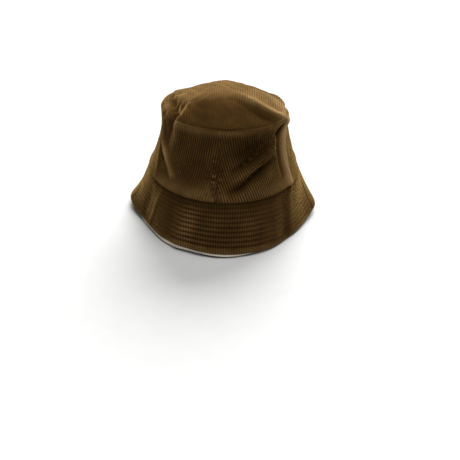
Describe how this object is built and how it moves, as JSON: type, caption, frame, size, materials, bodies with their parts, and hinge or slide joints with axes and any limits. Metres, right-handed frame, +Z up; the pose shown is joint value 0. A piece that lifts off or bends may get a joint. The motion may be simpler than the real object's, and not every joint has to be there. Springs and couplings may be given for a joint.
{
  "type": "bucket hat",
  "caption": "Lined corduroy bucket hat with an oval domed tip, a panelled crown side and a soft downturned brim quilted with concentric stitch rows.",
  "frame": {"origin": "middle of the head opening, in the plane of the seam between crown and brim", "axes": "+Z up through the tip, +Y to the front of the hat over the wearer's face, -Y the centre back, +X the wearer's right"},
  "size_m": [0.2162, 0.2419, 0.1552],
  "materials": {
    "corduroy": "dark brown wide-wale cotton corduroy, matt with a soft pile sheen on folds",
    "cream_lining": "cream plain-weave cotton, matt",
    "interlining": "off-white fusible interlining, matt",
    "brown_thread": "dark brown polyester sewing thread, slight sheen",
    "cream_thread": "cream polyester bobbin thread, slight sheen",
    "sweatband_cloth": "brown cotton twill tape, matt",
    "label_cloth": "blank woven satin label, slight sheen"
  },
  "bodies": {
    "root": {"crown_tip_outer": "corduroy", "crown_side_outer_right": "corduroy", "crown_side_outer_left": "corduroy", "crown_tip_lining": "cream_lining", "crown_lining_right": "cream_lining", "crown_lining_left": "cream_lining", "brim_outer_front": "corduroy", "brim_interlining_front": "interlining", "brim_facing_front": "cream_lining", "brim_outer_back": "corduroy", "brim_interlining_back": "interlining", "brim_facing_back": "cream_lining", "brim_stitch_row_01": "brown_thread", "brim_bobbin_row_01": "cream_thread", "brim_stitch_row_02": "brown_thread", "brim_bobbin_row_02": "cream_thread", "brim_stitch_row_03": "brown_thread", "brim_bobbin_row_03": "cream_thread", "brim_stitch_row_04": "brown_thread", "brim_bobbin_row_04": "cream_thread", "brim_stitch_row_05": "brown_thread", "brim_bobbin_row_05": "cream_thread", "brim_stitch_row_06": "brown_thread", "brim_bobbin_row_06": "cream_thread", "brim_stitch_row_07": "brown_thread", "brim_bobbin_row_07": "cream_thread", "brim_stitch_row_08": "brown_thread", "brim_bobbin_row_08": "cream_thread", "brim_stitch_row_09": "brown_thread", "brim_bobbin_row_09": "cream_thread", "sweatband": "sweatband_cloth", "sweatband_stitch": "brown_thread", "blank_label": "label_cloth"}
  },
  "joints": []
}
